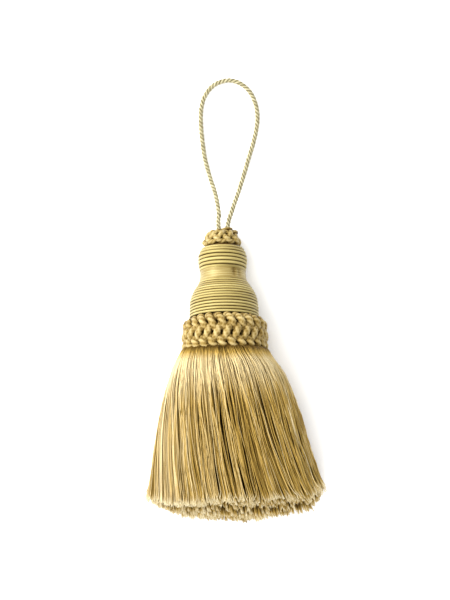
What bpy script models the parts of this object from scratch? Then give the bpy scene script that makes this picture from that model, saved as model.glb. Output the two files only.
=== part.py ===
"""A silk tassel lying on its back: hanging loop, knot, wound head, plaited collar and cut skirt.

Sizes are in millimetres and are turned to metres when a mesh is made. The head has its own
frame, an empty at the centre of the collar's lower rim. Its +Z runs up the head towards the
knot, and its -Y looks up from the table. The skirt and the loop are laid out on the table.
"""

import math
import random

import bmesh
import bpy
import numpy as np
from mathutils import Matrix, Vector

MM = 0.001
GAP = 0.3  # between touching pieces
ROUNDED_BELOW = 40.0  # degrees between faces that are shaded as one curve

# Colour (linear) and roughness of each piece, all undyed gold silk and cord
FINISHES = {
    "hanging_loop": {"colour": (0.66, 0.60, 0.36), "roughness": 0.5},
    "top_knot": {"colour": (0.60, 0.47, 0.20), "roughness": 0.5},
    "bulb_winding": {"colour": (0.60, 0.48, 0.20), "roughness": 0.42},
    "waist_binding": {"colour": (0.66, 0.53, 0.24), "roughness": 0.35},
    "bell_winding": {"colour": (0.62, 0.50, 0.21), "roughness": 0.42},
    "plaited_collar": {"colour": (0.63, 0.49, 0.22), "roughness": 0.5},
    "skirt": {"colour": (0.64, 0.49, 0.22), "roughness": 0.38},
}

# Where the head lies. The collar and the bulb both touch the table at this tilt.
HEAD_TILT = 13.0  # degrees, knot end down
HEAD_YAW = 1.7  # degrees, knot end to the left
RIM_CENTRE = (-5.61, 11.73, 22.7)  # the collar's lower rim, from the middle of the footprint

# Collar, a plaited band of thick cord round the head's foot
COLLAR_LOBES = 25
COLLAR_SHAPE = (  # height up the head, outer radius over the lobes
    {"height": 0.2, "radius": 20.3},
    {"height": 2.4, "radius": 21.7},
    {"height": 4.6, "radius": 21.8},
    {"height": 8.8, "radius": 21.6},
    {"height": 12.8, "radius": 20.6},
    {"height": 15.6, "radius": 19.6},
    {"height": 17.5, "radius": 18.0},
)
COLLAR_ROWS = 3
COLLAR_LOBE_RISE = 1.3
COLLAR_BORE = (  # from the top down, a little wider than the plug inside it
    {"height": 17.5, "radius": 14.9},
    {"height": 12.6, "radius": 18.0},
    {"height": 2.2, "radius": 18.0},
)

# Wound head, envelope over the crowns of the cord's turns
BELL_TURNS = 13
BELL_SHAPE = (
    {"height": 17.8, "radius": 17.5},
    {"height": 22.5, "radius": 17.4},
    {"height": 26.5, "radius": 17.1},
    {"height": 29.1, "radius": 16.3},
    {"height": 31.2, "radius": 15.3},
    {"height": 33.2, "radius": 14.1},
    {"height": 35.0, "radius": 12.9},
    {"height": 36.4, "radius": 12.1},
)
WAIST_SHAPE = (
    {"height": 36.7, "radius": 11.9},
    {"height": 38.4, "radius": 11.6},
    {"height": 40.2, "radius": 11.5},
    {"height": 41.9, "radius": 11.6},
)
BULB_TURNS = 7
BULB_SHAPE = (
    {"height": 42.2, "radius": 11.7},
    {"height": 44.4, "radius": 12.2},
    {"height": 47.4, "radius": 12.4},
    {"height": 50.0, "radius": 12.2},
    {"height": 52.0, "radius": 11.4},
    {"height": 53.9, "radius": 10.2},
)
TURN_GROOVE = 0.5
TURN_PROFILE = (  # along one turn of cord, from its groove over its crown
    {"part": 0.0, "sunk": TURN_GROOVE},
    {"part": 0.3, "sunk": 0.0},
    {"part": 0.7, "sunk": 0.0},
)
HEAD_SIDES = 24

# Plaited lobes, in the collar and the knot. Their valleys are shallower and lie deeper.
LOBE_PROFILE = (  # round one lobe, from its dip over its crown
    {"part": 0.0, "sunk": 1.0},
    {"part": 0.34, "sunk": 0.0},
    {"part": 0.66, "sunk": 0.0},
)
VALLEY_RISE = 0.55
VALLEY_INSET = 0.6
VALLEY_SHIFT = -0.25  # of a lobe, which slants the lobes

# Knot that the loop comes out of
KNOT_LOBES = 10
KNOT_ROWS = 3
KNOT_LOBE_RISE = 1.2
KNOT_SHAPE = (
    {"height": 54.2, "radius": 9.3},
    {"height": 56.4, "radius": 10.1},
    {"height": 58.8, "radius": 9.8},
    {"height": 61.2, "radius": 8.8},
    {"height": 63.2, "radius": 7.2},
    {"height": 64.6, "radius": 5.0},
)

# Hanging loop, a twisted cord that comes out of the knot and goes back into it
LOOP_DIAMETER = 2.3
LOOP_STRANDS = 3
LOOP_LAY = 6.2  # length of one full twist
LOOP_STEPS_PER_LAY = 6
LOOP_GROOVE = 0.32
LOOP_ROUNDED_BELOW = 75.0
LOOP_ENDS = {"left": (-1.5, -1.8), "right": (3.0, 0.8)}  # across the knot's top
LOOP_STUB = 4.0  # straight out of the knot
CURVE_STEPS = 20  # between two points of the route
LOOP_ROUTE = (  # across from the rim's centre, up from it, height of the cord's middle
    {"x": -3.2, "y": 69.5, "z": 8.7},
    {"x": -4.0, "y": 75.4, "z": 7.2},
    {"x": -5.3, "y": 81.4, "z": 5.3},
    {"x": -7.3, "y": 87.4, "z": 3.6},
    {"x": -9.1, "y": 93.4, "z": 2.3},
    {"x": -10.6, "y": 99.5, "z": 1.5},
    {"x": -11.5, "y": 105.8, "z": 1.25},
    {"x": -12.2, "y": 112.1, "z": 1.25},
    {"x": -12.6, "y": 118.4, "z": 1.25},
    {"x": -12.4, "y": 123.6, "z": 1.25},
    {"x": -11.4, "y": 128.5, "z": 1.25},
    {"x": -9.2, "y": 132.9, "z": 1.25},
    {"x": -6.0, "y": 136.3, "z": 1.25},
    {"x": -2.1, "y": 138.2, "z": 1.25},
    {"x": 2.0, "y": 138.9, "z": 1.25},
    {"x": 6.4, "y": 137.9, "z": 1.25},
    {"x": 10.4, "y": 135.3, "z": 1.25},
    {"x": 13.3, "y": 131.8, "z": 1.25},
    {"x": 15.3, "y": 127.3, "z": 1.25},
    {"x": 16.3, "y": 122.5, "z": 1.25},
    {"x": 16.4, "y": 117.9, "z": 1.25},
    {"x": 15.7, "y": 112.9, "z": 1.25},
    {"x": 14.2, "y": 106.4, "z": 1.25},
    {"x": 12.3, "y": 100.2, "z": 1.25},
    {"x": 10.5, "y": 94.0, "z": 1.4},
    {"x": 8.7, "y": 88.0, "z": 2.0},
    {"x": 6.9, "y": 82.0, "z": 3.2},
    {"x": 4.8, "y": 76.0, "z": 4.6},
    {"x": 2.8, "y": 70.0, "z": 6.1},
)

# Skirt: cut silk locks out of a plug inside the collar. Each row is a cross-section of the
# skirt: how far its widest level lies beyond the roots, its reach to each side of the head's
# axis, its top, widest level and underside above the table, and its slope in degrees.
PLUG_SHAPE = (  # height up the head, radius; the flange under the collar holds the roots
    {"height": -1.3, "radius": 20.6},
    {"height": -0.3, "radius": 20.6},
    {"height": -0.3, "radius": 17.7},
    {"height": 12.4, "radius": 17.7},
    {"height": 17.45, "radius": 14.5},
)
PLUG_SIDES = 40
OUTLINE_STEPS = 240
UNDER_ROUNDNESS = 0.72  # under 1 fills out the lower corners of a cross-section
UNDER_FLATNESS = 1.12  # over 1 widens what lies flat on the table
ROOT_RADIUS = 20.3
ROOT_DEPTH = 0.6  # how far a lock runs into the plug
SKIRT_SECTIONS = (
    {"run": 2.0, "left": 24.2, "right": 24.4, "top": 44.6, "wide": 21.5, "under": 2.4, "slope": 13.0},
    {"run": 9.2, "left": 27.6, "right": 29.8, "top": 46.6, "wide": 19.5, "under": 0.0, "slope": 14.0},
    {"run": 25.0, "left": 32.4, "right": 36.6, "top": 45.4, "wide": 17.0, "under": 0.0, "slope": 17.0},
    {"run": 50.0, "left": 36.9, "right": 44.4, "top": 40.0, "wide": 14.0, "under": 0.0, "slope": 21.0},
    {"run": 92.0, "left": 43.6, "right": 61.0, "top": 29.5, "wide": 10.0, "under": 0.0, "slope": 25.0},
)
SKIRT_LENGTH = 81.0  # from root to cut end
LENGTH_CHANGES = (  # from the skirt's left edge to its right one, what a lock there has more
    {"across": -1.0, "longer": -4.5},
    {"across": -0.8, "longer": -2.4},
    {"across": -0.55, "longer": 0.0},
    {"across": -0.3, "longer": 0.8},
    {"across": 0.0, "longer": 0.5},
    {"across": 0.35, "longer": 1.0},
    {"across": 0.6, "longer": 1.9},
    {"across": 0.78, "longer": 1.0},
    {"across": 0.92, "longer": -4.4},
    {"across": 1.0, "longer": -5.6},
)
LENGTH_SPREAD = 1.2
LOCK_LAYERS = (  # share of the skirt's depth that each layer fills, and its locks
    {"inner": 0.845, "outer": 1.0, "locks": 66},
    {"inner": 0.63, "outer": 0.815, "locks": 46},
    {"inner": 0.36, "outer": 0.60, "locks": 26},
    {"inner": 0.06, "outer": 0.33, "locks": 10},
)
LOCK_FILL = 0.76  # of a lock's share of its layer, the rest is the gap beside it
LOCK_UNEVEN = 0.22
LOCK_WANDER = 0.09  # sideways, of a lock's share
SEED = 7


def clear_scene():
    for item in list(bpy.data.objects):
        bpy.data.objects.remove(item)


def material(name, colour, roughness):
    made = bpy.data.materials.new(name)
    made.use_nodes = True
    shader = made.node_tree.nodes["Principled BSDF"]
    shader.inputs["Base Color"].default_value = (*colour, 1.0)
    shader.inputs["Roughness"].default_value = roughness
    shader.inputs["Metallic"].default_value = 0.0
    return made


def add_object(name, bm, parent=None, rounded_below=ROUNDED_BELOW):
    """Links a bmesh, made in millimetres, as one object in metres with its own finish."""
    bm.normal_update()
    bmesh.ops.recalc_face_normals(bm, faces=bm.faces)
    bmesh.ops.scale(bm, vec=(MM, MM, MM), verts=bm.verts)
    mesh = bpy.data.meshes.new(name)
    bm.to_mesh(mesh)
    bm.free()
    mesh.shade_smooth()
    mesh.set_sharp_from_angle(angle=math.radians(rounded_below))
    if name in FINISHES:
        mesh.materials.append(material(name, **FINISHES[name]))
    made = bpy.data.objects.new(name, mesh)
    bpy.context.scene.collection.objects.link(made)
    made.parent = parent
    return made


def bridge_rings(bm, rings, closed=False):
    """Quads between rings of as many points each, capped at both ends or joined in a circle."""
    made = [[bm.verts.new(point) for point in ring] for ring in rings]
    pairs = list(zip(made, made[1:]))
    if closed:
        pairs.append((made[-1], made[0]))
    for low, high in pairs:
        for i in range(len(low)):
            j = (i + 1) % len(low)
            bm.faces.new((low[i], low[j], high[j], high[i]))
    if not closed:
        bm.faces.new(made[0])
        bm.faces.new(made[-1])


def along_shape(shape, share):
    """Height and radius at a share of the arc length of a table of heights and radii."""
    heights = np.array([row["height"] for row in shape])
    radii = np.array([row["radius"] for row in shape])
    steps = np.hypot(np.diff(heights), np.diff(radii))
    travelled = np.concatenate([[0.0], np.cumsum(steps)])
    at = share * travelled[-1]
    return float(np.interp(at, travelled, heights)), float(np.interp(at, travelled, radii))


def circle(radius, height, sides):
    turn = 2 * math.pi / sides
    return [
        Vector((radius * math.cos(i * turn), radius * math.sin(i * turn), height))
        for i in range(sides)
    ]


def keep_above_table(item, frame):
    """Presses what would dip under the table flat against it."""
    back = frame.matrix_world.inverted()
    for vertex in item.data.vertices:
        place = frame.matrix_world @ vertex.co
        if place.z < 0:
            place.z = 0
            vertex.co = back @ place


def wound_cord(name, shape, turns, frame):
    """Turns of cord side by side over the mould."""
    rings = []
    for turn in range(turns):
        for point in TURN_PROFILE:
            height, radius = along_shape(shape, (turn + point["part"]) / turns)
            rings.append(circle(radius - point["sunk"], height, HEAD_SIDES))
    height, radius = along_shape(shape, 1.0)
    rings.append(circle(radius - TURN_GROOVE, height, HEAD_SIDES))
    bm = bmesh.new()
    bridge_rings(bm, rings)
    keep_above_table(add_object(name, bm, frame), frame)


def turned_rings(shape, sides):
    return [circle(row["radius"], row["height"], sides) for row in shape]


def waist_binding(frame):
    """The smooth band of floss between the bulb and the bell."""
    bm = bmesh.new()
    bridge_rings(bm, turned_rings(WAIST_SHAPE, HEAD_SIDES))
    add_object("waist_binding", bm, frame)


def lobed_ring(shape, share, lobes, shift, rise, inset):
    """A ring through a row of lobes, which dips by the rise between them."""
    height, radius = along_shape(shape, share)
    ring = []
    for lobe in range(lobes):
        for point in LOBE_PROFILE:
            angle = 2 * math.pi * (lobe + point["part"] + shift) / lobes
            out = radius - inset - rise * point["sunk"]
            ring.append(Vector((out * math.cos(angle), out * math.sin(angle), height)))
    return ring


def lobed_rings(shape, rows, lobes, rise):
    """Rows of plaited lobes from the foot up, each half a lobe on from the row below."""
    rings = []
    for row in range(rows + 1):
        shift = row / 2
        valley = (rise * VALLEY_RISE, rise * VALLEY_INSET)
        rings.append(lobed_ring(shape, row / rows, lobes, shift + VALLEY_SHIFT, *valley))
        if row < rows:
            rings.append(lobed_ring(shape, (row + 0.5) / rows, lobes, shift, rise, 0.0))
    return rings


def plaited_collar(frame):
    """A ring of cord plaited round the foot of the bell and over the skirt's plug."""
    rings = lobed_rings(COLLAR_SHAPE, COLLAR_ROWS, COLLAR_LOBES, COLLAR_LOBE_RISE)
    rings += turned_rings(COLLAR_BORE, len(rings[0]))
    bm = bmesh.new()
    bridge_rings(bm, rings, closed=True)
    keep_above_table(add_object("plaited_collar", bm, frame), frame)


def top_knot(frame):
    bm = bmesh.new()
    bridge_rings(bm, lobed_rings(KNOT_SHAPE, KNOT_ROWS, KNOT_LOBES, KNOT_LOBE_RISE))
    keep_above_table(add_object("top_knot", bm, frame), frame)


def smooth_route(points, step):
    """Points about one step apart on a smooth curve through a route's own points."""
    padded = [points[0] * 2 - points[1], *points, points[-1] * 2 - points[-2]]
    fine = []
    for i in range(1, len(padded) - 2):
        before, a, b, after = padded[i - 1 : i + 3]
        for part in range(CURVE_STEPS):
            t = part / CURVE_STEPS
            fine.append(
                0.5
                * (
                    2 * a
                    + (b - before) * t
                    + (2 * before - 5 * a + 4 * b - after) * t * t
                    + (3 * a - before - 3 * b + after) * t**3
                )
            )
    fine.append(points[-1])
    line = np.array([list(p) for p in fine])
    travelled = np.concatenate([[0], np.cumsum(np.linalg.norm(np.diff(line, axis=0), axis=1))])
    count = max(2, round(travelled[-1] / step))
    at = np.linspace(0, travelled[-1], count + 1)
    spaced = np.stack([np.interp(at, travelled, line[:, k]) for k in range(3)], axis=1)
    return [Vector(p) for p in spaced]


def hanging_loop(frame):
    """Three strands laid up, drawn as one lobed tube that turns once in each lay."""
    turn = frame.matrix_world.to_3x3()
    out = (turn @ Vector((0, 0, 1))).normalized()
    rim = Vector(RIM_CENTRE)
    top = KNOT_SHAPE[-1]["height"] + GAP
    left, right = (
        rim + turn @ Vector((*LOOP_ENDS[side], top)) for side in ("left", "right")
    )
    middle = [Vector((rim.x + row["x"], rim.y + row["y"], row["z"])) for row in LOOP_ROUTE]
    route = [left, left + out * LOOP_STUB, *middle, right + out * LOOP_STUB, right]
    line = smooth_route(route, LOOP_LAY / LOOP_STEPS_PER_LAY)
    rings = []
    side = Vector((1, 0, 0))
    for i, centre in enumerate(line):
        ahead = line[min(i + 1, len(line) - 1)] - line[max(i - 1, 0)]
        if i in (0, len(line) - 1):
            ahead = out if i == 0 else -out
        ahead = ahead.normalized()
        side = (side - ahead * side.dot(ahead)).normalized()
        across = ahead.cross(side)
        rings.append(
            [
                centre + (side * math.cos(angle) + across * math.sin(angle)) * radius
                for angle, radius in twisted_section(i / LOOP_STEPS_PER_LAY)
            ]
        )
    bm = bmesh.new()
    bridge_rings(bm, rings)
    add_object("hanging_loop", bm, rounded_below=LOOP_ROUNDED_BELOW)


def twisted_section(turns):
    """Angles and radii round a laid cord, a crown and a groove for each strand."""
    points = []
    for corner in range(2 * LOOP_STRANDS):
        angle = 2 * math.pi * (corner / (2 * LOOP_STRANDS) - turns)
        sunk = LOOP_GROOVE if corner % 2 else 0.0
        points.append((angle, LOOP_DIAMETER / 2 - sunk))
    return points


def section_outline(section):
    """The skirt's outline in one cross-section, from its top round to its top again."""
    middle = (section["right"] - section["left"]) / 2
    reach = (section["right"] + section["left"]) / 2
    drop = section["wide"] - section["under"]
    if section["under"] <= 0:
        drop *= UNDER_FLATNESS
    points = []
    for i in range(OUTLINE_STEPS + 1):
        angle = 2 * math.pi * i / OUTLINE_STEPS
        across, up = math.sin(angle), math.cos(angle)
        if up >= 0:
            height = section["wide"] + (section["top"] - section["wide"]) * up
        else:
            height = max(section["under"], section["wide"] - drop * abs(up) ** UNDER_ROUNDNESS)
        points.append((middle + reach * across, height))
    line = np.array(points)
    travelled = np.concatenate([[0], np.cumsum(np.linalg.norm(np.diff(line, axis=0), axis=1))])
    return line, travelled / travelled[-1], middle


def root_section():
    """The cross-section where the locks leave the plug, round in the head's own plane."""
    rise = math.cos(math.radians(HEAD_TILT))
    centre = RIM_CENTRE[2] - PLUG_SHAPE[0]["height"] * math.sin(math.radians(HEAD_TILT))
    return {
        "run": 0.0,
        "left": ROOT_RADIUS,
        "right": ROOT_RADIUS,
        "top": centre + ROOT_RADIUS * rise,
        "wide": centre,
        "under": centre - ROOT_RADIUS * rise,
        "slope": HEAD_TILT,
    }


class SkirtForm:
    """Turns a lock's share round the skirt, depth and place down it into a point."""

    def __init__(self):
        self.sections = [root_section(), *SKIRT_SECTIONS]
        self.outlines = [section_outline(section) for section in self.sections]
        tilt = math.radians(HEAD_TILT)
        self.root_y = RIM_CENTRE[1] + PLUG_SHAPE[0]["height"] * math.cos(tilt)
        self.root_x = RIM_CENTRE[0]

    def point(self, number, share, depth):
        section = self.sections[number]
        line, travelled, middle = self.outlines[number]
        share %= 1.0
        edge_x = float(np.interp(share, travelled, line[:, 0]))
        edge_z = float(np.interp(share, travelled, line[:, 1]))
        x = middle + (edge_x - middle) * depth
        z = section["wide"] + (edge_z - section["wide"]) * depth
        slope = math.tan(math.radians(section["slope"]))
        y = -section["run"] + (z - section["wide"]) * slope
        return Vector((self.root_x + x, self.root_y + y, z))

    def path(self, share, depth, wander):
        """The points of a path down the skirt, moved sideways a little at each section."""
        return [self.point(i, share + wander[i], depth) for i in range(len(self.sections))]


def cut_length(form, share, depth):
    """The length of a lock, which is less at the skirt's two edges."""
    section = SKIRT_SECTIONS[-1]
    across = form.point(len(SKIRT_SECTIONS), share, depth).x - form.root_x
    across /= section["left"] if across < 0 else section["right"]
    places = [row["across"] for row in LENGTH_CHANGES]
    longer = [row["longer"] for row in LENGTH_CHANGES]
    return SKIRT_LENGTH + float(np.interp(across, places, longer))


def cut_path(path, length):
    """Where a path is cut off at a length, as the number of its stretch and the share of it."""
    left = length
    for i in range(len(path) - 1):
        stretch = (path[i + 1] - path[i]).length
        if left < stretch or i == len(path) - 2:
            return i, min(left / stretch, 1.0)
        left -= stretch


def add_lock(bm, form, shares, depths, length, wander):
    """One four-sided lock from inside the plug to its cut end."""
    corners = [
        (shares[0], depths[0]),
        (shares[1], depths[0]),
        (shares[1], depths[1]),
        (shares[0], depths[1]),
    ]
    paths = [form.path(share, depth, wander) for share, depth in corners]
    middle = form.path(sum(shares) / 2, sum(depths) / 2, wander)
    stretch, part = cut_path(middle, length)
    tilt = math.radians(HEAD_TILT)
    inward = Vector((0, math.cos(tilt), -math.sin(tilt))) * ROOT_DEPTH
    rings = [[path[0] + inward for path in paths]]
    for number in range(1, stretch + 1):
        rings.append([path[number] for path in paths])
    rings.append([path[stretch].lerp(path[stretch + 1], part) for path in paths])
    bridge_rings(bm, rings)


def lock_shares(count, chance):
    """Uneven shares round a layer for its locks, with a gap beside each."""
    widths = [1 + chance.uniform(-LOCK_UNEVEN, LOCK_UNEVEN) for _ in range(count)]
    total = sum(widths)
    at = chance.random() / count
    shares = []
    for width in widths:
        share = width / total
        shares.append((at + share * (1 - LOCK_FILL) / 2, at + share * (1 + LOCK_FILL) / 2))
        at += share
    return shares


def skirt_locks():
    """All the locks as one guide, which is joined into the skirt's plug."""
    chance = random.Random(SEED)
    form = SkirtForm()
    bm = bmesh.new()
    for layer in LOCK_LAYERS:
        most = LOCK_WANDER / layer["locks"]
        for shares in lock_shares(layer["locks"], chance):
            middle = (layer["inner"] + layer["outer"]) / 2
            length = cut_length(form, sum(shares) / 2, middle)
            length += chance.uniform(-LENGTH_SPREAD, LENGTH_SPREAD)
            wander = [0.0] + [chance.uniform(-most, most) for _ in SKIRT_SECTIONS]
            add_lock(bm, form, shares, (layer["inner"], layer["outer"]), length, wander)
    made = add_object("skirt_locks_guide", bm)
    made.hide_render = True
    made.display_type = "WIRE"
    return made


def skirt(frame):
    """The plug that fills the collar, with the cut locks joined into its lower face."""
    bm = bmesh.new()
    bridge_rings(bm, turned_rings(PLUG_SHAPE, PLUG_SIDES))
    made = add_object("skirt", bm, frame)
    join = made.modifiers.new("locks", "BOOLEAN")
    join.operation = "UNION"
    join.solver = "EXACT"
    join.object = skirt_locks()


def head_frame():
    """The empty that the head's pieces hang on, lying down with its knot end lowest."""
    frame = bpy.data.objects.new("head_frame", None)
    bpy.context.scene.collection.objects.link(frame)
    yaw = Matrix.Rotation(math.radians(HEAD_YAW), 4, "Z")
    lean = Matrix.Rotation(-math.radians(90 + HEAD_TILT), 4, "X")
    frame.matrix_world = Matrix.Translation(Vector(RIM_CENTRE) * MM) @ yaw @ lean
    bpy.context.view_layer.update()
    return frame


def main():
    clear_scene()
    frame = head_frame()
    hanging_loop(frame)
    top_knot(frame)
    wound_cord("bulb_winding", BULB_SHAPE, BULB_TURNS, frame)
    waist_binding(frame)
    wound_cord("bell_winding", BELL_SHAPE, BELL_TURNS, frame)
    plaited_collar(frame)
    skirt(frame)


main()
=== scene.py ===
import math

import bpy
import numpy as np
from mathutils import Matrix, Vector


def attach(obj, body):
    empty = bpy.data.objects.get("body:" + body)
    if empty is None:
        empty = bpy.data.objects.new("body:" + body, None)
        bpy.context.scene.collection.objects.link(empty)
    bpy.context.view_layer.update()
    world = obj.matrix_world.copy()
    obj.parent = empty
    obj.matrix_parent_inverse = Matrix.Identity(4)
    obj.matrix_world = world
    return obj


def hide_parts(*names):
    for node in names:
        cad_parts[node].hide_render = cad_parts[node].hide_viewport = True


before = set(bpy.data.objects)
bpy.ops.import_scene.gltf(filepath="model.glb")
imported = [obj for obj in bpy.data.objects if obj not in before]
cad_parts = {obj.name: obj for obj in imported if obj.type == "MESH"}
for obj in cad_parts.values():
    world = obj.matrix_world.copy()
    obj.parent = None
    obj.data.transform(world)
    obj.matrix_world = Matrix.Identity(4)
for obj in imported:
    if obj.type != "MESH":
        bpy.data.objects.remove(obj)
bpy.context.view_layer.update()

# All sizes are in millimetres and degrees. addMesh turns them to metres.
mm = 0.001


def hexColour(text):
    # sRGB hex to linear, with alpha
    channels = [int(text[i:i + 2], 16) / 255 for i in (1, 3, 5)]
    linear = [c / 12.92 if c <= 0.04045 else ((c + 0.055) / 1.055) ** 2.4 for c in channels]
    return (*linear, 1.0)


# Where the head lies, as packed: its lower rim's centre, its knot end down and to the left
head = {"rim": (-5.61, 11.73, 22.7), "tilt": 13.0, "yaw": 1.7}

headTurn = np.array(
    Matrix.Rotation(math.radians(head["yaw"]), 3, "Z")
    @ Matrix.Rotation(-math.radians(90 + head["tilt"]), 3, "X")
)
rim = np.array(head["rim"])


def fromHead(points):
    # head frame: z up the head's axis, -y towards the sky
    return np.asarray(points) @ headTurn.T + rim


# Camera straight above, as in the photo: 0.5 mm to a pixel of the 600 pixel height
camera = {"height": 800.0, "aim": (-5.71, 38.13), "focusZ": 20.0, "mmPerPixel": 0.5, "pixels": 600}


def addCamera():
    data = bpy.data.cameras.new("camera")
    data.sensor_width = 36.0
    seen = camera["mmPerPixel"] * camera["pixels"]
    data.lens = data.sensor_width * (camera["height"] - camera["focusZ"]) / seen
    data.clip_end = 20.0
    made = bpy.data.objects.new("camera", data)
    made.location = (camera["aim"][0] * mm, camera["aim"][1] * mm, camera["height"] * mm)
    bpy.context.scene.collection.objects.link(made)
    bpy.context.scene.camera = made


def addMesh(name, parts, material, replaced):
    # parts: vertices, faces as rows of corners, and each vertex's tone and place in its thread
    vertices = np.concatenate([p["vertices"] for p in parts]) * mm
    rows, start = [], 0
    for p in parts:
        rows += [faces + start for faces in p["faces"]]
        start += len(p["vertices"])
    loops = np.concatenate([r.reshape(-1) for r in rows])
    sizes = np.concatenate([np.full(len(r), r.shape[1]) for r in rows])
    mesh = bpy.data.meshes.new(name)
    mesh.vertices.add(len(vertices))
    mesh.vertices.foreach_set("co", vertices.astype(np.float32).reshape(-1))
    mesh.loops.add(len(loops))
    mesh.loops.foreach_set("vertex_index", loops.astype(np.int32))
    mesh.polygons.add(len(sizes))
    mesh.polygons.foreach_set("loop_start", (np.cumsum(sizes) - sizes).astype(np.int32))
    mesh.polygons.foreach_set("use_smooth", np.ones(len(sizes), bool))
    tone = mesh.attributes.new("tone", "FLOAT", "POINT")
    tone.data.foreach_set("value", np.concatenate([p["tone"] for p in parts]).astype(np.float32))
    fibre = mesh.attributes.new("fibre", "FLOAT_VECTOR", "POINT")
    places = np.concatenate([p["fibre"] for p in parts]).reshape(-1)
    fibre.data.foreach_set("vector", places.astype(np.float32))
    mesh.update(calc_edges=True)
    mesh.validate()
    mesh.materials.append(material)
    made = bpy.data.objects.new(name, mesh)
    bpy.context.scene.collection.objects.link(made)
    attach(made, "root")
    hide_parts(replaced)
    print("made", name, int((sizes - 2).sum()), "triangles")
    return made


def unit(vectors):
    return vectors / np.maximum(np.linalg.norm(vectors, axis=-1, keepdims=True), 1e-9)


def readTable(table, at):
    # values read between the rows of a table of pairs
    places, values = zip(*table)
    return np.interp(at, places, values)


def wayAlong(line):
    # how far each point of a line is from its start
    return np.concatenate([[0], np.cumsum(np.linalg.norm(np.diff(line, axis=0), axis=1))])


shadeFall = 1.4  # how soon the painted shade on a cord's sides deepens below its crest
fibreShift = 31.0  # mm from one thread's streaks to the next one's, so that no two are alike


def sweepTubes(paths, sections, outward, tones, paintedSideShade=0.0, closed=False):
    # paths (tubes, rings, 3); sections (tubes, rings, sides, 2) as across and outward offsets
    tubes, rings, _ = paths.shape
    sides = sections.shape[2]
    if closed:
        ahead = unit(np.roll(paths, -1, 1) - np.roll(paths, 1, 1))
    else:
        ahead = unit(np.gradient(paths, axis=1))
    lift = unit(outward - ahead * (outward * ahead).sum(-1, keepdims=True))
    across = np.cross(lift, ahead)
    points = (
        paths[:, :, None]
        + across[:, :, None] * sections[..., 0:1]
        + lift[:, :, None] * sections[..., 1:2]
    )
    index = np.arange(tubes * rings * sides).reshape(tubes, rings, sides)
    nextRing = np.roll(index, -1, 1) if closed else index[:, 1:]
    thisRing = index if closed else index[:, :-1]
    quads = np.stack(
        [thisRing, np.roll(thisRing, -1, 2), np.roll(nextRing, -1, 2), nextRing], -1
    ).reshape(-1, 4)
    faces = [quads]
    if not closed:
        faces += [index[:, 0, ::-1], index[:, -1]]
    steps = np.linalg.norm(np.diff(paths, axis=1), axis=-1)
    travelled = np.concatenate([np.zeros((tubes, 1)), np.cumsum(steps, 1)], 1)
    shape = (tubes, rings, sides)
    # painted shade: the sides, where a cord meets its neighbours, are painted darker than its crest
    crest = sections[..., 1] / np.abs(sections).max()
    tone = np.reshape(tones, (tubes, -1, 1)) - paintedSideShade * (1 - crest) ** shadeFall
    # fibre: where each point lies in its own thread, in mm, along it and across it
    shifts = fibreShift * np.arange(tubes)[:, None]
    along = np.broadcast_to((travelled + shifts)[:, :, None], shape)
    return {
        "vertices": points.reshape(-1, 3),
        "faces": faces,
        "tone": np.broadcast_to(tone, shape).reshape(-1),
        "fibre": np.stack([along, sections[..., 0], sections[..., 1]], -1).reshape(-1, 3),
    }


def roundSection(radii, sides):
    angles = 2 * np.pi * np.arange(sides) / sides
    return radii[..., None, None] * np.stack([np.cos(angles), np.sin(angles)], -1)


def shapeAt(shape, share):
    # height and radius at a share of a profile's length, and that length
    heights = np.array([row["height"] for row in shape])
    radii = np.array([row["radius"] for row in shape])
    length = wayAlong(np.stack([heights, radii], -1))
    at = share * length[-1]
    return np.interp(at, length, heights), np.interp(at, length, radii), length[-1]


def ringFaces(rows, around):
    index = np.arange(rows * around).reshape(rows, around)
    low, high = index[:-1], index[1:]
    quads = np.stack([low, np.roll(low, -1, 1), np.roll(high, -1, 1), high], -1).reshape(-1, 4)
    return [quads, index[:1, ::-1], index[-1:]]


def turnedSurface(heights, radii, tones, around, dentsAndPaintedLight=()):
    # a surface turned round the head's axis, with its fibres running round it
    angle = 2 * np.pi * np.arange(around) / around
    heights, radii, tones = (
        np.repeat(np.asarray(a, float)[:, None], around, 1) for a in (heights, radii, tones)
    )
    for dentAndLight in dentsAndPaintedLight:  # soft dents with painted shade, and a slight swell with a painted highlight; their angles counted from the sky side towards the right
        aside = np.degrees(np.arctan2(np.cos(angle), -np.sin(angle))) - dentAndLight["at"]
        place = (aside / dentAndLight["wide"]) ** 2 + ((heights - dentAndLight["height"]) / dentAndLight["tall"]) ** 2
        radii = radii - dentAndLight["dent"] * np.exp(-place)
        tones = tones - dentAndLight["tone"] * np.exp(-place)
    points = np.stack([radii * np.cos(angle), radii * np.sin(angle), heights], -1)
    world = fromHead(points.reshape(-1, 3))
    world[:, 2] = np.maximum(world[:, 2], 0.0)
    run = np.broadcast_to(angle * np.mean(radii), heights.shape)
    return {
        "vertices": world,
        "faces": ringFaces(*heights.shape),
        "tone": tones.reshape(-1),
        "fibre": np.stack([run, heights, radii], -1).reshape(-1, 3),
    }


def addNode(tree, kind, inputs=None, **settings):
    node = tree.nodes.new(kind)
    for name, value in settings.items():
        setattr(node, name, value)
    for name, value in (inputs or {}).items():
        if isinstance(value, bpy.types.NodeSocket):
            tree.links.new(value, node.inputs[name])
        else:
            node.inputs[name].default_value = value
    return node


# What every silk here has in common: its IOR, how soft its sheen is, and the noise's usual range
silk = {"ior": 1.54, "sheenRoughness": 0.4, "noise": (0.25, 0.75)}


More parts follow.
